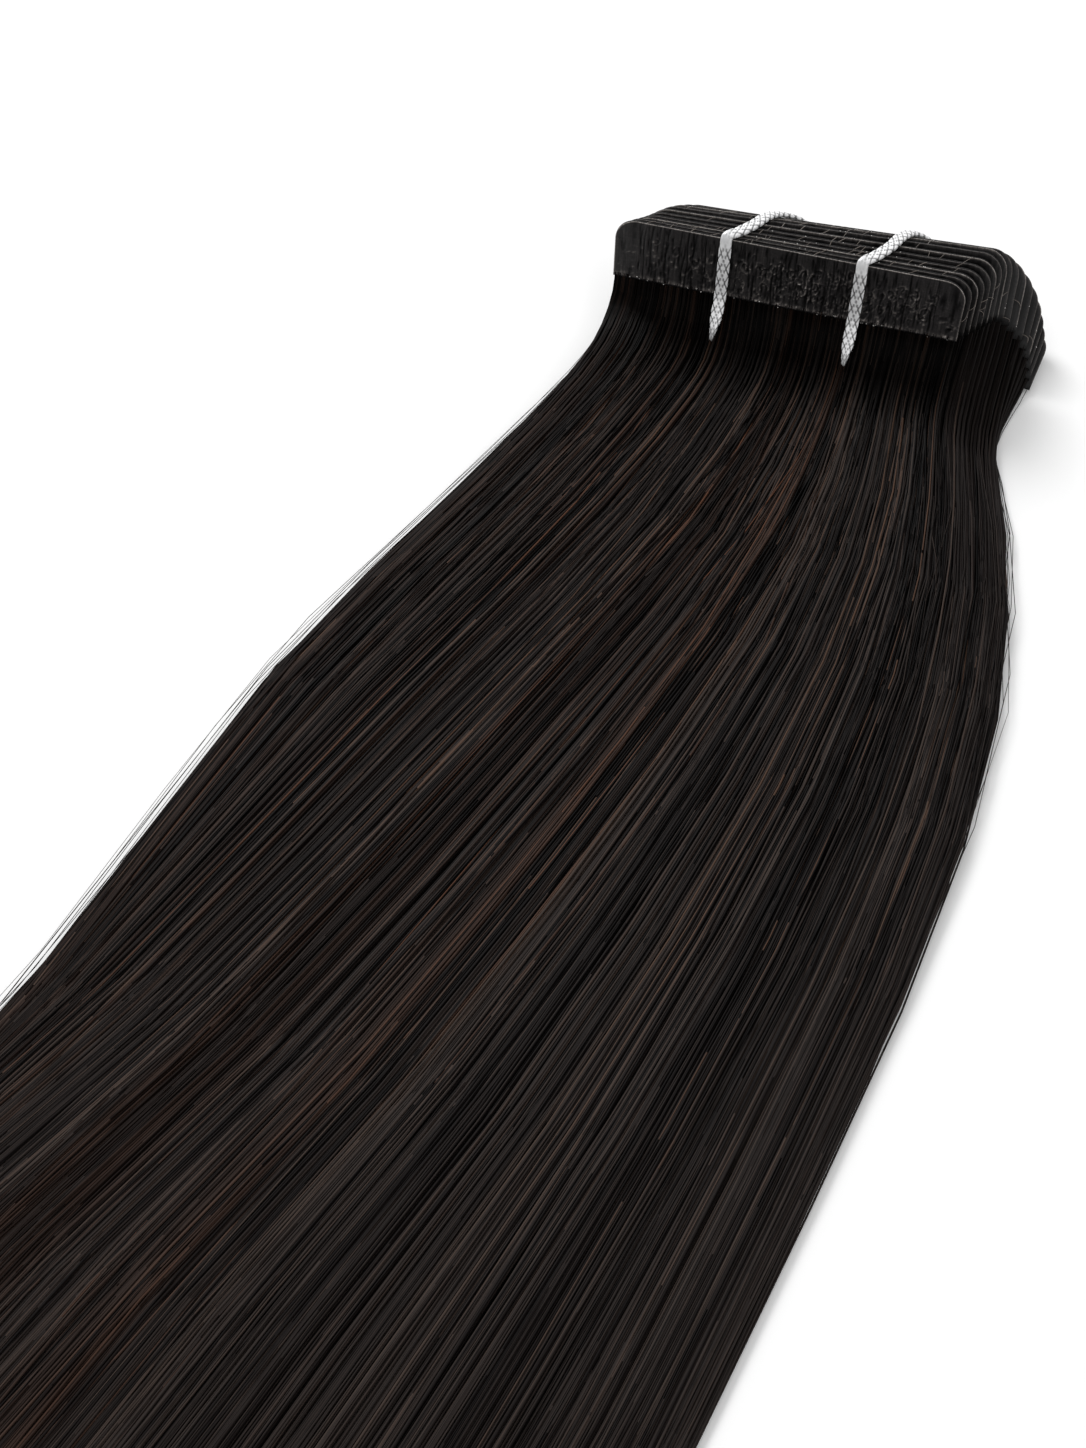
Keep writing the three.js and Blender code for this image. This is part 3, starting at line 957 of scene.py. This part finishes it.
# Flow: strands spread to the sheaf's left edge and sweep to the left, by a shape that is a polynomial in u.
# None goes further out than the edge limit.
FLOW_POINTS = 17
FLOW_CROWDING = 1.7
SPREAD_AT_ROOT = 0.04
SPREAD_LATER = 0.12
SPREAD_RISE = (ROOT_RUN, 60)
SPREAD_START = 0.3
SPREAD_FADE = 0.5
SWEEP_RUN = 130.0
SWEEP_SCALE = 79.5
SWEEP_POWER = 1.05
SWEEP_SHAPE = (0.38, -0.25, -0.45)
EDGE_LIMIT = 1.02

# Tips: most strands end near one run, and some end well before it.
TIP_RUN = 390.0
TIP_SCATTER = 16.0
SHORT_SHARE = 0.12
SHORT_BY = 60

# Bundles: strands leave a tab in small bundles, and the strands of a bundle on one tab move as one clump.
BUNDLE_COUNT = 98
BUNDLE_GAP = (0.22, 0.7)
BUNDLE_BLUR = 0.04
CLUMP_KINDS = 997
CLUMP_STEPS = (37, 101)
CLUMP_LIFT = (-0.25, 0.1)

# Sideways waves, in millimetres. Clumps sway by their own strength, and wild strands move more.
WAVES = (
    ("mover", "size", "length"),
    (
        ("clump by its strength", 0.22, 62),
        ("clump", 0.12, 38),
        ("wild strand", 0.40, 27),
        ("wild strand", 0.30, 49),
    ),
)
WAVE_RISE = (4, 70)

# Wild strands also cross each other in short waves near the roots.
CROSS_LENGTH = 9
CROSS_RISE = (6, 14)
CROSS_END_RISE = (30, 60)

# Some strands drift sideways below the tabs and cross their neighbours.
DRIFT = 2.6
DRIFT_SHARE = 0.22
DRIFT_RISE = (4, 50)

# Strands gather in the middle of their bundle below the tabs, and part again further on.
GATHER = 0.6
GATHER_RISE = (-3, 14)
PARTING = 0.5
PARTING_RISE = (25, 70)

# Layers: the front tab's hair lies on top and the last tab's at the bottom. The right of the sheaf is bare of
# the front tab's hair, and there the hair of the tabs behind comes to the top.
LAYER_DEPTH = 0.93
BARE_DEPTH = 0.1
BARE_START = -0.08
BARE_FADE = 0.16
BARE_RISE = (ROOT_RUN, 30)
LOWEST_LAYER = 0.05
LOWEST_STRAND = 0.2
LIFT_RISE = (-2, 16)
SETTLING = 0.6
SETTLING_RISE = (40, 80)

# Stray strands leave the sheaf's edge, and come back to it further on.
STRAY_RISE = (3, 28)
STRAY_RETURN = 0.7
STRAY_RETURN_RISE = (150, 150)


def bundle_places():
    """Middles of the small bundles in which strands leave a tab, in millimetres along it."""
    places = np.cumsum(chance("bundles").uniform(*BUNDLE_GAP, BUNDLE_COUNT))
    return places - places.mean()


BUNDLES = bundle_places()


def root_place(cards, tab, across):
    """Place across the sheaf at which strands of a tab enter it."""
    roots = np.array([card.at(0, -ROOT_BELOW, -TAB_THICKNESS / 2) for card in cards])
    along = np.array([card.along[0] for card in cards])
    x = roots[tab, 0] + along[tab] * across * ROOT_REACH
    return np.clip((x - sheaf_middle(ROOT_RUN)) / sheaf_half(ROOT_RUN), *ROOT_LIMITS)


def swept(u, run):
    """Place across the sheaf at a run, for strands that enter it at u."""
    spread = SPREAD_AT_ROOT + SPREAD_LATER * rise(run, *SPREAD_RISE)
    u = u - spread * rise(-u, SPREAD_START, SPREAD_FADE)
    grown = (np.clip(run - ROOT_RUN, 0, SWEEP_RUN - ROOT_RUN) / SWEEP_SCALE) ** SWEEP_POWER
    return u - grown * (1 - u ** 2) * np.polynomial.polynomial.polyval(u, SWEEP_SHAPE)


def strand_roots(rng, cards, tab, x):
    """Where strands start inside their tab, where they leave it, and the way down from it."""
    count = len(tab)
    deep = -TAB_THICKNESS / 2 + rng.uniform(-ROOT_SCATTER, ROOT_SCATTER, count)
    inside, root, down = np.zeros((3, count, 3))
    for k, card in enumerate(cards):
        mine = tab == k
        inside[mine] = card.at(x[mine], ROOT_BURIED, deep[mine])
        root[mine] = card.at(x[mine], -ROOT_BELOW, deep[mine])
        down[mine] = -card.up
    return inside, root, down


def strand_paths(rng, cards, tab, across, lift, wild, stray):
    """Paths of strands: out of a tab in its plane, into the strand's layer, then along the sheaf."""
    count = len(tab)
    x = across * ROOT_REACH
    inside, root, down = strand_roots(rng, cards, tab, x)
    bundle = np.abs(x[:, None] + rng.normal(0, BUNDLE_BLUR, (count, 1)) - BUNDLES).argmin(1)
    clump = (bundle * CLUMP_STEPS[0] + tab * CLUMP_STEPS[1]) % CLUMP_KINDS
    clump_turns = rng.uniform(0, FULL_TURN, (CLUMP_KINDS, 2))[clump]
    clump_sway = rng.normal(0, 1.0, CLUMP_KINDS)[clump]
    clump_lift = rng.uniform(*CLUMP_LIFT, CLUMP_KINDS)[clump]
    own_turns = rng.uniform(0, FULL_TURN, (count, 3))
    short = SHORT_BY * (rng.random(count) < SHORT_SHARE)
    end_run = TIP_RUN - np.abs(rng.normal(0, TIP_SCATTER, count)) - short
    run = ROOT_RUN + (end_run[:, None] - ROOT_RUN) * np.linspace(0, 1, FLOW_POINTS) ** FLOW_CROWDING
    u = swept(root_place(cards, tab, across)[:, None], run)

    movers = (clump_sway, np.ones(count), wild, wild)
    turns = np.column_stack([clump_turns, own_turns]).T
    move = (BUNDLES[bundle] - x)[:, None] * GATHER * rise(run, *GATHER_RISE)
    move = move * (1 - PARTING * rise(run, *PARTING_RISE))
    for (_, size, length), mover, turn in zip(WAVES[1], movers, turns):
        move = move + (size * mover)[:, None] * np.sin(run / length + turn[:, None]) * rise(run, *WAVE_RISE)
    cross = wild[:, None] * np.sin(run / CROSS_LENGTH + turns[-1][:, None]) * rise(run, *CROSS_RISE)
    move = move + cross * (1 - rise(run, *CROSS_END_RISE))
    drift_rng = chance("drift")
    drift = drift_rng.normal(0, DRIFT, count) * (drift_rng.random(count) < DRIFT_SHARE)
    move = move + drift[:, None] * rise(run, *DRIFT_RISE) * (1 - u ** 2)
    half = sheaf_half(run)
    u = np.clip(u + move / half, -EDGE_LIMIT, EDGE_LIMIT)

    behind = (tab / (TAB_COUNT - 1))[:, None]
    front_edge = swept(root_place(cards, np.array([0]), np.array([1.0])), run)
    bare = rise(u - front_edge, BARE_START, BARE_FADE) * rise(run, *BARE_RISE)
    layer = (1 - LAYER_DEPTH * behind) * (1 - bare) + (1 - BARE_DEPTH * behind) * bare
    raised = lift[:, None] + clump_lift[:, None] * (1 - SETTLING * rise(run, *SETTLING_RISE))
    height = sheaf_top(run, u) * (LOWEST_LAYER + (1 - LOWEST_LAYER) * layer) + raised * rise(run, *LIFT_RISE)
    away = stray[:, None] * rise(run, *STRAY_RISE) * (1 - STRAY_RETURN * rise(run, *STRAY_RETURN_RISE))
    flow = np.stack([sheaf_middle(run) + half * u + away, -run, np.maximum(height, LOWEST_STRAND)], -1)

    start = root[:, None]
    end = flow[:, :1]
    leave = start + down[:, None] * LEAVE_LENGTH
    arrive = end + unit(end - flow[:, 1:2]) * ARRIVE_LENGTH
    t = np.linspace(0, 1, ROOT_STEPS + 1)[None, 1:-1, None]
    curve = (1 - t) ** 3 * start + 3 * t * (1 - t) ** 2 * leave + 3 * t * t * (1 - t) * arrive + t ** 3 * end
    return np.concatenate([inside[:, None], start, curve, flow], axis=1)


# Visible strands of each tab, front to back: most on the top, and more on the underside than between.
STRAND_COUNTS = (1700, 460, 300, *[150] * (TAB_COUNT - 4), 460)
TOP_TABS = 3
STRAND_PIECES = 4

# Strands of the tabs between are seen only at the ends of the tabs, and more at the right ends.
RIGHT_BIAS = 0.5
END_SHARE = 0.5
END_CROWDING = 1.5

# Some strands of the top tabs start at the very left.
LEFT_SHARE = 0.07
LEFT_STRETCH = 0.08

# Size, lift and wildness of the strands, and how they thin out to their tips. Thicker ones lie higher.
STRAND_RADIUS = (0.065, 0.145)
STRAND_LIFT = (-0.4, 0.1)
LEVEL_RADIUS = 0.1
WILDNESS = 0.25
TIP_THINNING = 0.6
TIP_SHARE = 0.12
EVEN_STEPS = 201
EVEN_SHARE = 0.5

# Tones: of a strand and of its bundle, and painted shade on the strands in the gaps between bundles.
STRAND_TONE = 0.42
TONE_SPREAD = 0.2
BUNDLE_TONE = 0.1
BUNDLE_TONE_SPREAD = 0.08
GAP_PAINTED_SHADE = 0.4
GAP_START = 0.08
GAP_FADE = 0.13

# Bands of paler and of warmer strands: how many, and the ranges of their half widths and strengths.
PALE_BANDS = {"count": 30, "half width": (0.006, 0.03), "strength": (0.1, 0.42), "evenness": (0.2, 1.0)}
WARM_BANDS = {"count": 16, "half width": (0.01, 0.05), "strength": (0.3, 0.9), "evenness": (0.5, 1.0)}
LEAST_WARMTH = (0, 0.22)

# Painted shadow at the roots is darkest under the first tabs. The outermost strands at the right ends of the
# tabs between are even in tone, and have less painted shadow at their roots.
DARKEST_SHADOW_TABS = 2
RIM_START = 0.975
RIM_TONE = 0.42
RIM_ROOT_SHADE = 0.35
REAR_ROOT_SHADE = 0.05


def even_across(rng, cards, tab):
    """Places along each strand's tab: half of them even along the tab, half even across the swept sheaf."""
    low, high = (swept(root_place(cards, tab, np.full(len(tab), end)), SWEEP_RUN) for end in (-1.0, 1.0))
    table = np.linspace(-1, 1, EVEN_STEPS)
    far = rng.uniform(low, high)
    across = np.zeros(len(tab))
    for k in range(TAB_COUNT):
        mine = tab == k
        reached = swept(root_place(cards, np.full(EVEN_STEPS, k), table), SWEEP_RUN)
        across[mine] = np.interp(far[mine], np.maximum.accumulate(reached), table)
    return np.where(rng.random(len(tab)) < EVEN_SHARE, rng.uniform(-1, 1, len(tab)), across)


def band_values(rng, across, bands):
    """Sum of soft bands at random places along the tabs, uneven from strand to strand."""
    total = np.zeros(len(across))
    for _ in range(bands["count"]):
        place = rng.uniform(-1, 1)
        half_width = rng.uniform(*bands["half width"])
        strength = rng.uniform(*bands["strength"])
        total += strength * bell(across - place, half_width) * rng.uniform(*bands["evenness"], len(across))
    return total


def make_strands(cards, material):
    """The visible strands, thickest on the top, the right side and the underside."""
    rng = chance("strands")
    tab = np.repeat(np.arange(TAB_COUNT), STRAND_COUNTS)
    count = len(tab)
    between = (tab >= TOP_TABS) & (tab < TAB_COUNT - 1)
    side = np.sign(rng.uniform(-1, 1, count) + RIGHT_BIAS)
    ends = side * (1 - END_SHARE * rng.random(count) ** END_CROWDING)
    across = np.where(between, ends, even_across(rng, cards, tab))
    at_left = (tab < TOP_TABS) & (rng.random(count) < LEFT_SHARE)
    across = np.where(at_left, -1 + LEFT_STRETCH * rng.random(count), across)
    size = rng.uniform(*STRAND_RADIUS, count)
    lift = rng.uniform(*STRAND_LIFT, count) + size - LEVEL_RADIUS
    wild = np.abs(rng.normal(0, WILDNESS, count))
    paths = strand_paths(rng, cards, tab, across, lift, wild, np.zeros(count))
    steps = np.linspace(0, 1, paths.shape[1])
    radius = size[:, None] * (1 - TIP_THINNING * rise(steps, 1 - TIP_SHARE, TIP_SHARE))

    off = np.abs((across * ROOT_REACH)[:, None] - BUNDLES)
    bundle_tone = rng.normal(BUNDLE_TONE, BUNDLE_TONE_SPREAD, len(BUNDLES))[off.argmin(1)]
    # Strands in the gaps between bundles get painted shade.
    tone = STRAND_TONE + bundle_tone - GAP_PAINTED_SHADE * rise(off.min(1), GAP_START, GAP_FADE)
    tone = tone + rng.normal(0, TONE_SPREAD, count) + band_values(rng, across, PALE_BANDS)
    warmth = rng.uniform(*LEAST_WARMTH, count) + band_values(rng, across, WARM_BANDS)
    warmth = np.clip(warmth, 0, 1)
    at_rim = between & (across > RIM_START)
    tone = np.clip(np.where(at_rim, RIM_TONE, tone), 0, 1)
    # Painted shadow at the roots below the tabs, least for the outermost strands at the right ends.
    root_painted_shadow = np.select([at_rim, tab >= DARKEST_SHADOW_TABS], [RIM_ROOT_SHADE, REAR_ROOT_SHADE], 0.0)

    pieces = []
    for number, part in enumerate(np.array_split(rng.permutation(count), STRAND_PIECES), 1):
        look = (tone[part], material, root_painted_shadow[part], warmth[part])
        pieces.append(tube_piece(f"hair_strands_{number}", paths[part], radius[part], *look))
    return pieces


# Flyaways at the left and right edges of the sheaf and over its top.
FLYAWAY_COUNTS = {-1: 46, 1: 26, 0: 30}
FLYAWAY_ENDS = (0.97, 1.0)
FLYAWAY_TOPS = (-0.95, 0.95)
LEFT_STRAY = {"least": -0.1, "more": -2.8, "power": 1.6}
RIGHT_STRAY = {"least": 0.05, "more": 0.7, "power": 2}
TOP_LIFT = (0.2, 0.7)
SIDE_LIFT = (0, 0.3)
LEFT_WILDNESS = (0.1, 0.4)
OTHER_WILDNESS = (0.4, 1.3)
RIGHT_RADIUS = (0.03, 0.05)
OTHER_RADIUS = (0.026, 0.042)
FLYAWAY_TONES = (0.3, 0.75)


def stray_values(rng, count, least, more, power):
    """How far flyaways stray from the sheaf's edge: most of them little and a few much."""
    return least + more * rng.random(count) ** power


def make_flyaways(cards, material):
    """Thin loose strands beside the two edges of the sheaf, and a few over its top."""
    rng = chance("flyaways")
    side = np.repeat(list(FLYAWAY_COUNTS), list(FLYAWAY_COUNTS.values()))
    count = len(side)
    tab = np.where(side == 0, 0, rng.integers(0, TAB_COUNT, count))
    across = np.where(side == 0, rng.uniform(*FLYAWAY_TOPS, count), side * rng.uniform(*FLYAWAY_ENDS, count))
    strays = [stray_values(rng, count, **limits) for limits in (LEFT_STRAY, RIGHT_STRAY)]
    stray = np.select([side < 0, side > 0], strays, 0.0)
    lift = np.where(side == 0, rng.uniform(*TOP_LIFT, count), rng.uniform(*SIDE_LIFT, count))
    wild = np.where(side < 0, rng.uniform(*LEFT_WILDNESS, count), rng.uniform(*OTHER_WILDNESS, count))
    paths = strand_paths(rng, cards, tab, across, lift, wild, stray)
    radius = np.where(side > 0, rng.uniform(*RIGHT_RADIUS, count), rng.uniform(*OTHER_RADIUS, count))
    radius = np.broadcast_to(radius[:, None], paths.shape[:2])
    return tube_piece("hair_flyaways", paths, radius, rng.uniform(*FLYAWAY_TONES, count), material)


# Threads of glue and hair between the tabs, over their tops and at their right ends.
THREAD_STEPS = 7
THREAD_RADIUS = (0.025, 0.05)
THREAD_TONES = (0.5, 1.0)
TOP_THREADS = {
    "count": 110,
    "tabs": TAB_COUNT - 3,
    "x": (-17, 17),
    "slant": 0.25,
    "sunk": 0.02,
    "arch": (-0.05, 0.1),
}
END_THREADS = {
    "count": 12,
    "tabs": TAB_COUNT - 2,
    "y": (0.3, 5.2),
    "slant": 0.7,
    "inset": 0.1,
    "arch": (0.25, -0.05, 0.1),
    "stir": 0.1,
}


def make_threads(cards, material):
    """Fine threads of glue and hair between neighbouring tabs, each a low arc."""
    rng = chance("threads")
    start = []
    end = []
    arch = []
    top = TAB_HEIGHT - TOP_THREADS["sunk"]
    for _ in range(TOP_THREADS["count"]):
        k = rng.integers(0, TOP_THREADS["tabs"])
        x = rng.uniform(*TOP_THREADS["x"])
        start.append(cards[k].at(x, top, -TAB_THICKNESS / 2))
        end.append(cards[k + 1].at(x + rng.normal(0, TOP_THREADS["slant"]), top, -TAB_THICKNESS / 2))
        arch.append((0, 0, rng.uniform(*TOP_THREADS["arch"])))
    right = TAB_WIDTH / 2 - END_THREADS["inset"]
    for _ in range(END_THREADS["count"]):
        k = rng.integers(0, END_THREADS["tabs"])
        y = rng.uniform(*END_THREADS["y"])
        start.append(cards[k].at(right, y, 0))
        end.append(cards[k + 1].at(right, y + rng.normal(0, END_THREADS["slant"]), 0))
        arch.append(rng.normal(0, END_THREADS["stir"], 3) + END_THREADS["arch"])
    start, end, arch = (np.array(points)[:, None] for points in (start, end, arch))
    t = np.linspace(0, 1, THREAD_STEPS)[None, :, None]
    paths = start * (1 - t) + end * t + 4 * t * (1 - t) * arch
    radius = np.broadcast_to(rng.uniform(*THREAD_RADIUS, len(paths))[:, None], paths.shape[:2])
    return tube_piece("tape_threads", paths, radius, rng.uniform(*THREAD_TONES, len(paths)), material)


# Specks of glue on the tops of the tabs, the front tab's lower edge and the right ends.
TOP_SPECKS = {"count": 46, "first tab": 1, "past tab": 9, "x middle": 4, "x spread": 7}
EDGE_SPECKS = {"count": 26, "x": (-19.5, 19), "y middle": 0.15, "y spread": 0.12, "out": 0.02}
END_SPECKS = {"count": 16, "inset": 0.05, "y": (0.1, 4.5), "out": -0.05}
SPECK_RADIUS = (0.04, 0.1)
SPECK_STRETCH = (0.6, 1.3)
SPECK_CORNERS = ((1, 0, 0), (0, 1, 0), (-1, 0, 0), (0, -1, 0), (0, 0, 1), (0, 0, -1))
SPECK_FACES = ((0, 1, 4), (1, 2, 4), (2, 3, 4), (3, 0, 4), (1, 0, 5), (2, 1, 5), (3, 2, 5), (0, 3, 5))


def make_specks(cards, material):
    """Bright specks of glue, each a small octahedron."""
    rng = chance("specks")
    centres = []
    for _ in range(TOP_SPECKS["count"]):
        k = rng.integers(TOP_SPECKS["first tab"], TOP_SPECKS["past tab"])
        x = rng.normal(TOP_SPECKS["x middle"], TOP_SPECKS["x spread"])
        centres.append(cards[k].at(x, TAB_HEIGHT, -TAB_THICKNESS / 2))
    for _ in range(EDGE_SPECKS["count"]):
        x = rng.uniform(*EDGE_SPECKS["x"])
        y = rng.normal(EDGE_SPECKS["y middle"], EDGE_SPECKS["y spread"])
        centres.append(cards[0].at(x, y, EDGE_SPECKS["out"]))
    for _ in range(END_SPECKS["count"]):
        k = rng.integers(0, TAB_COUNT)
        y = rng.uniform(*END_SPECKS["y"])
        centres.append(cards[k].at(TAB_WIDTH / 2 - END_SPECKS["inset"], y, END_SPECKS["out"]))
    count = len(centres)
    size = rng.uniform(*SPECK_RADIUS, (count, 1, 1)) * rng.uniform(*SPECK_STRETCH, (count, 1, 3))
    points = np.array(centres)[:, None] + np.array(SPECK_CORNERS, float) * size
    triangles = np.array(SPECK_FACES) + len(SPECK_CORNERS) * np.arange(count)[:, None, None]
    return mesh_piece("tape_specks", points.reshape(-1, 3), material, triangles=triangles.reshape(-1, 3))


def add_floor():
    """Plain pale floor."""
    points = np.array([(-1, -1, 0), (1, -1, 0), (1, 1, 0), (-1, 1, 0)]) * FLOOR_REACH
    floor = mesh_piece("floor", points, plain("floor", FLOOR_COLOUR, FLOOR_ROUGHNESS), [(0, 1, 2, 3)])


def area_light(name, place, size, power):
    data = bpy.data.lights.new(name, "AREA")
    data.shape = "DISK"
    data.size = size * MM
    data.energy = power
    light = bpy.data.objects.new(name, data)
    bpy.context.scene.collection.objects.link(light)
    light.location = Vector(place) * MM
    light.rotation_euler = (Vector(LIGHT_TARGET) - Vector(place)).to_track_quat("-Z", "Y").to_euler()


def add_lights():
    """White surroundings, a soft key from behind on the left and a weak fill from the front."""
    world = bpy.data.worlds.new("studio")
    world.use_nodes = True
    background = world.node_tree.nodes["Background"]
    background.inputs["Color"].default_value = (1, 1, 1, 1)
    background.inputs["Strength"].default_value = WORLD_STRENGTH
    bpy.context.scene.world = world
    for row in LIGHTS[1]:
        area_light(*row)
    bpy.context.scene.view_settings.view_transform = "Standard"


def add_camera():
    data = bpy.data.cameras.new("camera")
    data.lens = CAMERA_LENS
    data.sensor_fit = "AUTO"
    data.sensor_width = CAMERA_SENSOR
    data.clip_start = CAMERA_CLIP_START
    camera = bpy.data.objects.new("camera", data)
    bpy.context.scene.collection.objects.link(camera)
    azimuth = math.radians(CAMERA_AZIMUTH)
    elevation = math.radians(CAMERA_ELEVATION)
    level = math.cos(elevation)
    back = Vector((math.sin(azimuth) * level, -math.cos(azimuth) * level, math.sin(elevation)))
    right = Vector((math.cos(azimuth), math.sin(azimuth), 0))
    turn = Matrix((right, back.cross(right), back)).transposed()
    camera.matrix_world = Matrix.Translation(Vector(CAMERA_PLACE) * MM) @ turn.to_4x4()
    bpy.context.scene.camera = camera


add_camera()
add_floor()
add_lights()
CARDS = stack_cards()
make_tabs(CARDS, tape_material())
make_ties(CARDS, silver_material())
core = hair_core(core_material())
strand_look = strand_material()
hair = [core, *make_strands(CARDS, strand_look), make_flyaways(CARDS, strand_look)]
for piece in hair:
    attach(piece, "root")
    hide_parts("hair_sheaf")

small = [
    make_threads(CARDS, plain("tape_thread", THREAD_COLOUR, THREAD_ROUGHNESS)),
    make_specks(CARDS, plain("tape_speck", SPECK_COLOUR, SPECK_ROUGHNESS)),
]
for piece in small:
    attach(piece, "root")
